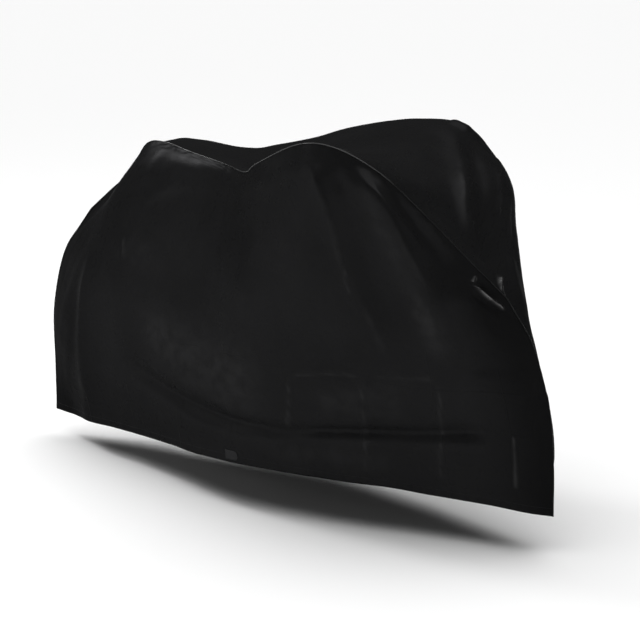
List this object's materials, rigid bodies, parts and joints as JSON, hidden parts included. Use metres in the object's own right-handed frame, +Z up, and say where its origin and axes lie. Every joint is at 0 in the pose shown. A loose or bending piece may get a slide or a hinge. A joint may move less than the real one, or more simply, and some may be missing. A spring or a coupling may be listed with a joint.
{
  "type": "bicycle cover",
  "caption": "Fitted bicycle cover of thin black film, two seamed side panels hung over saddle and handlebar, open at the hem.",
  "frame": {"origin": "the place under the top of the cover where the bicycle's saddle carries it, in the cover's middle plane", "axes": "+Z up, +X towards the front wheel's end, +Y towards the bicycle's left side"},
  "size_m": [1.8422, 0.7653, 0.9909],
  "materials": {
    "film": "thin black coated film with a soft gloss and packing creases",
    "patch": "black reinforcing tape, a little duller than the film"
  },
  "bodies": {
    "root": {"right_panel": "film", "left_panel": "film", "hem_patch": "patch"}
  },
  "joints": []
}
